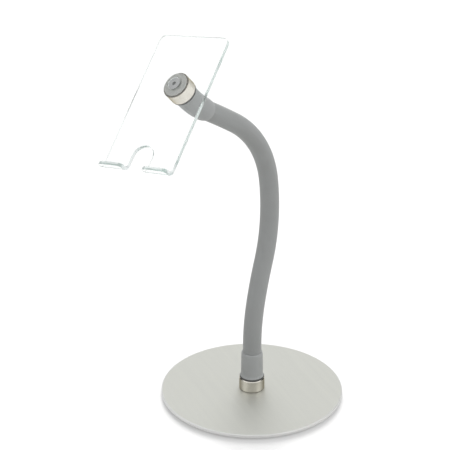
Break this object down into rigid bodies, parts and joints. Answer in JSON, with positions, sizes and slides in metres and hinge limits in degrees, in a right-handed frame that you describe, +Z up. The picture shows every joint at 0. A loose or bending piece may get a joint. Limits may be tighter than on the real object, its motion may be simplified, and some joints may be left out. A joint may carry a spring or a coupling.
{
  "type": "phone gooseneck holder",
  "caption": "Desk holder for a phone: a clear folded cradle that swivels on the end of a bendable sheathed gooseneck standing on a round metal base plate.",
  "frame": {"origin": "centre of the underside of the base, on the surface that it stands on", "axes": "+Z up; the cradle faces -Y and the neck bends in the YZ plane; +X is to the right seen from the front"},
  "size_m": [0.16, 0.2322, 0.3404],
  "materials": {
    "base_plate": "satin brushed plate with a clear lacquer",
    "base_pad": "fine closed-cell foam",
    "collar": "turned and nickel plated",
    "ferrule": "turned",
    "screw": "zinc plated",
    "core": "drawn wire",
    "sheath": "satin extruded sleeve",
    "cuff": "satin moulded sleeve",
    "washer": "natural nylon",
    "cradle": "clear polished sheet, heat folded"
  },
  "bodies": {
    "base": {"base_plate": "base_plate", "base_pad": "base_pad", "lower_screw": "screw", "lower_collar": "collar", "lower_ferrule": "ferrule", "lower_cuff": "cuff", "core_0": "core", "sheath_0": "sheath"},
    "neck_1": {"core_1": "core", "sheath_1": "sheath"},
    "neck_2": {"core_2": "core", "sheath_2": "sheath"},
    "neck_3": {"core_3": "core", "sheath_3": "sheath"},
    "neck_4": {"core_4": "core", "sheath_4": "sheath"},
    "neck_5": {"core_5": "core", "sheath_5": "sheath"},
    "neck_6": {"core_6": "core", "sheath_6": "sheath"},
    "head": {"core_7": "core", "sheath_7": "sheath", "upper_cuff": "cuff", "upper_ferrule": "ferrule", "upper_collar": "collar", "upper_screw": "screw", "swivel_washer": "washer"},
    "cradle": {"cradle": "cradle"}
  },
  "joints": [
    {"name": "neck_nod_1", "type": "hinge", "parent": "base", "child": "neck_1", "pos_m": [0, 0.00091, 0.06677], "axis": [1, 0, 0], "range_deg": [-15, 15], "deforming": ["sheath_0", "sheath_1"]},
    {"name": "neck_sway_2", "type": "hinge", "parent": "neck_1", "child": "neck_2", "pos_m": [0, 0.00775, 0.10411], "axis": [0, 0.9703, -0.2419], "range_deg": [-15, 15], "deforming": ["sheath_1", "sheath_2"]},
    {"name": "neck_nod_3", "type": "hinge", "parent": "neck_2", "child": "neck_3", "pos_m": [0, 0.0173, 0.14088], "axis": [1, 0, 0], "range_deg": [-15, 15], "deforming": ["sheath_2", "sheath_3"]},
    {"name": "neck_sway_4", "type": "hinge", "parent": "neck_3", "child": "neck_4", "pos_m": [0, 0.01978, 0.17872], "axis": [0, 0.9992, 0.0393], "range_deg": [-15, 15], "deforming": ["sheath_3", "sheath_4"]},
    {"name": "neck_nod_5", "type": "hinge", "parent": "neck_4", "child": "neck_5", "pos_m": [0, 0.0133, 0.21598], "axis": [1, 0, 0], "range_deg": [-15, 10], "deforming": ["sheath_4", "sheath_5"]},
    {"name": "neck_sway_6", "type": "hinge", "parent": "neck_5", "child": "neck_6", "pos_m": [0, -0.00785, 0.24719], "axis": [0, 0.6915, 0.7224], "range_deg": [-15, 15], "deforming": ["sheath_5", "sheath_6"]},
    {"name": "neck_nod_7", "type": "hinge", "parent": "neck_6", "child": "head", "pos_m": [0, -0.03907, 0.26869], "axis": [1, 0, 0], "range_deg": [-15, 15], "deforming": ["sheath_6", "sheath_7"]},
    {"name": "cradle_swivel", "type": "hinge", "parent": "head", "child": "cradle", "pos_m": [0, -0.08544, 0.30458], "axis": [0, -0.6947, 0.7193], "range_deg": [-101.2, 78.8]}
  ]
}
